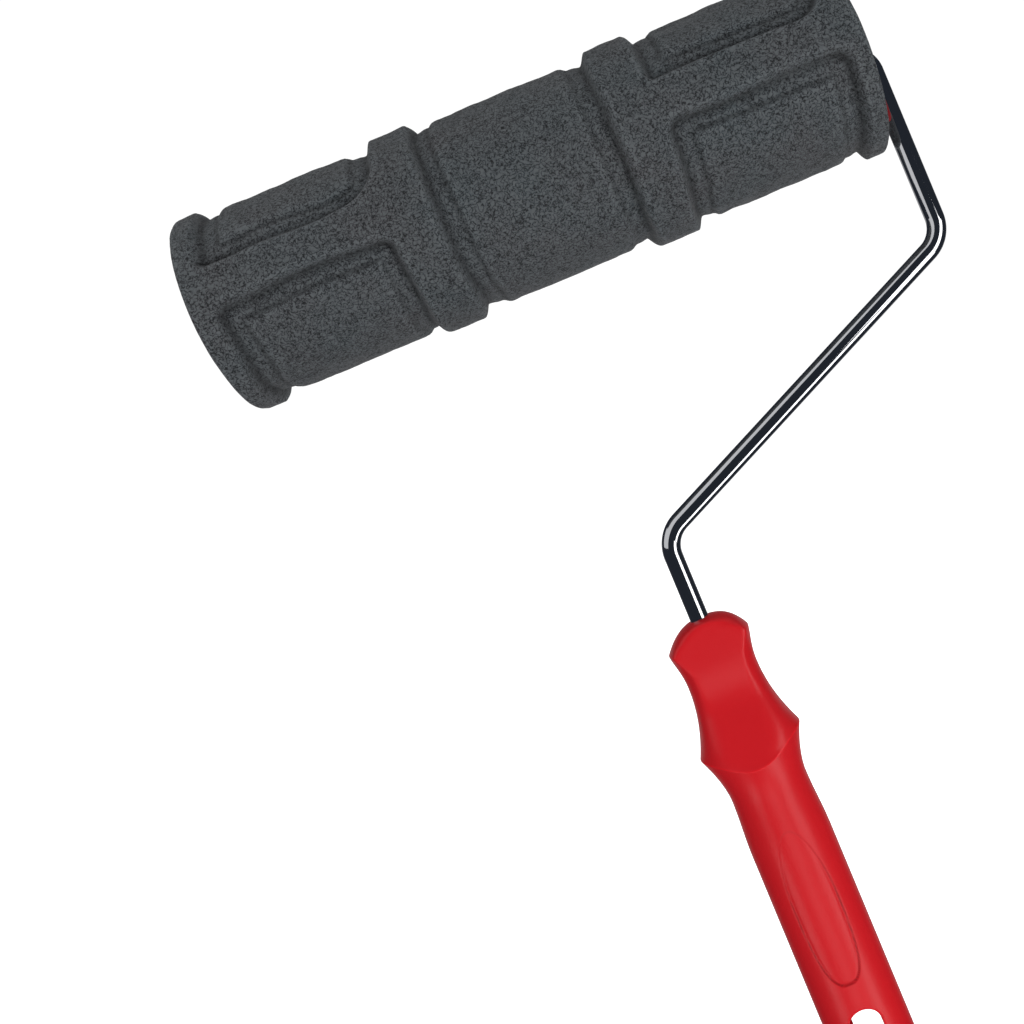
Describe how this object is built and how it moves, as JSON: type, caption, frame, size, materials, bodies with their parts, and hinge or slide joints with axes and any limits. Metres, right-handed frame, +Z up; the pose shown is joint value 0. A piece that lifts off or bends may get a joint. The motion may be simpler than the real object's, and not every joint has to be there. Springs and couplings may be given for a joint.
{
  "type": "texture paint roller",
  "caption": "Hand roller with a brick-relief foam sleeve on a spring-wire cage, spinning on a bent chrome rod with a moulded thumb-rest handle.",
  "frame": {"origin": "centre of the handle's open end, at the mouth of the pole socket", "axes": "+Z up the handle to the roller, +X along the roller's axle towards the rod's arm, front of the tool facing -Y"},
  "size_m": [0.1875, 0.0546, 0.2923],
  "materials": {
    "foam": "matte",
    "tube_plastic": "matte",
    "cap_plastic": "satin",
    "bush_plastic": "satin",
    "spring_wire": "satin",
    "chrome_rod": "polished",
    "plated_steel": "satin",
    "handle_plastic": "satin"
  },
  "bodies": {
    "frame": {"frame_rod": "chrome_rod", "handle": "handle_plastic", "stop_collar": "plated_steel", "arm_washer": "plated_steel", "free_washer": "plated_steel", "push_nut": "spring_wire"},
    "cage": {"arm_end_cap": "cap_plastic", "free_end_cap": "cap_plastic", "end_cover": "cap_plastic", "arm_bush": "bush_plastic", "free_bush": "bush_plastic", "cage_wire_1": "spring_wire", "cage_wire_2": "spring_wire", "cage_wire_3": "spring_wire", "cage_wire_4": "spring_wire", "cage_wire_5": "spring_wire"},
    "sleeve": {"core_tube": "tube_plastic", "pattern_sleeve": "foam"}
  },
  "joints": [
    {"name": "roller_spin", "type": "hinge", "parent": "frame", "child": "cage", "pos_m": [0.004, 0, 0.265], "axis": [1, 0, 0], "continuous": true},
    {"name": "sleeve_slide", "type": "slide", "parent": "cage", "child": "sleeve", "axis": [-1, 0, 0], "range_m": [0, 0.19]}
  ]
}
